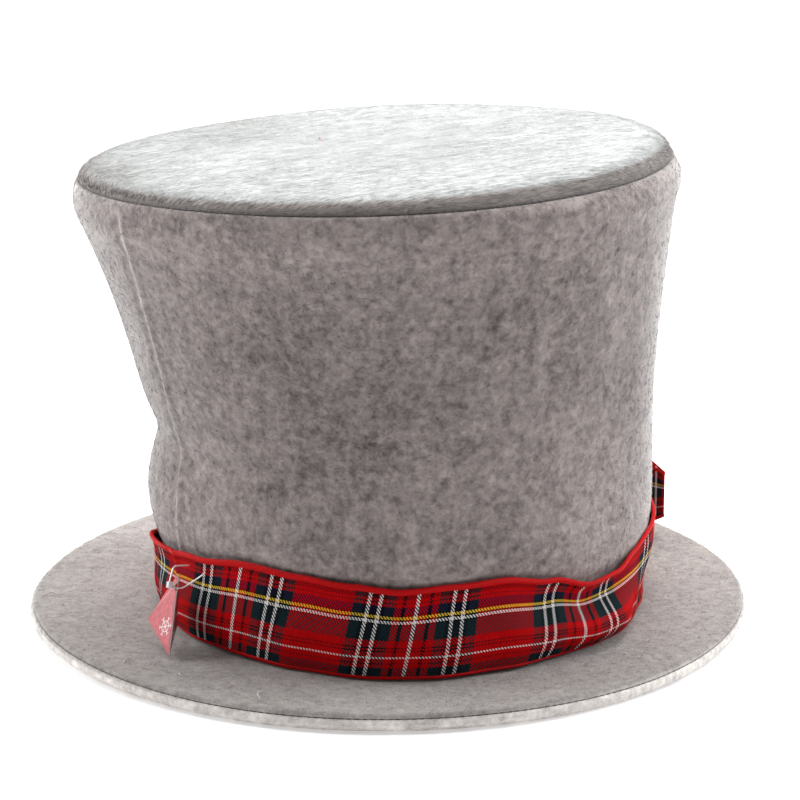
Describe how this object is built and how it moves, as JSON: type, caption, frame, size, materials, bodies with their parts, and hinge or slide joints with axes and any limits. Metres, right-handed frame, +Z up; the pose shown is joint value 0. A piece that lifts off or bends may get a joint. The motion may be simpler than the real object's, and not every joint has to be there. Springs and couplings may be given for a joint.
{
  "type": "top hat",
  "caption": "Costume top hat of brushed grey felt with a flared crown, flat round brim, wired tartan ribbon band, bow at the back and a folded swing tag.",
  "frame": {"origin": "middle of the brim's underside, on the surface that the hat stands on", "axes": "+Z up through the crown, -Y towards the front, where the tag hangs a little to the wearer's right, +X towards the end of the band that the bow is at"},
  "size_m": [0.3, 0.3, 0.2019],
  "materials": {
    "felt": "brushed melange grey polyester felt, hairy nap, matte",
    "foam": "white open-cell foam backing, matte",
    "lining": "black woven polyester, slight sheen",
    "sweatband": "black ribbed woven tape",
    "label": "white satin tape, blank",
    "board": "grey stiffening board",
    "thread": "dark grey polyester sewing thread",
    "ribbon": "woven twill tartan: red, dark green, navy, black, with white and yellow lines",
    "hem": "red closely stitched ribbon edge",
    "wire": "fine soft copper-coloured wire",
    "card": "coated card, red outside, white edge",
    "nylon": "clear moulded nylon"
  },
  "bodies": {
    "root": {"crown_side_felt": "felt", "crown_tip_felt": "felt", "brim_top_felt": "felt", "brim_under_felt": "felt", "crown_side_foam": "foam", "crown_tip_foam": "foam", "crown_side_lining": "lining", "crown_tip_lining": "lining", "sweatband": "sweatband", "care_label": "label", "brim_board": "board", "crown_tip_seam": "thread", "crown_foot_seam": "thread", "brim_edge_seam": "thread", "band_ribbon": "ribbon", "band_lower_hem": "hem", "band_upper_hem": "hem", "band_lower_wire": "wire", "band_upper_wire": "wire", "bow_right_loop": "ribbon", "bow_left_loop": "ribbon", "bow_right_tail": "ribbon", "bow_left_tail": "ribbon", "bow_knot": "ribbon"},
    "tag_loop": {"tag_loop": "nylon"},
    "tag_card": {"tag_right_leaf": "card"},
    "tag_cover": {"tag_left_leaf": "card"}
  },
  "joints": [
    {"name": "tag_lift", "type": "hinge", "parent": "root", "child": "tag_loop", "pos_m": [-0.07404, -0.06879, 0.0385], "axis": [-0.6494, 0.7604, 0], "range_deg": [0, 50]},
    {"name": "tag_swing", "type": "hinge", "parent": "tag_loop", "child": "tag_card", "pos_m": [-0.08282, -0.07323, 0.03237], "axis": [-0.8311, -0.4233, 0.3607], "range_deg": [0, 60]},
    {"name": "tag_crease", "type": "hinge", "parent": "tag_card", "child": "tag_cover", "pos_m": [-0.08282, -0.07323, 0.03237], "axis": [0.094, 0.5322, 0.8414], "range_deg": [-5, 30]}
  ]
}
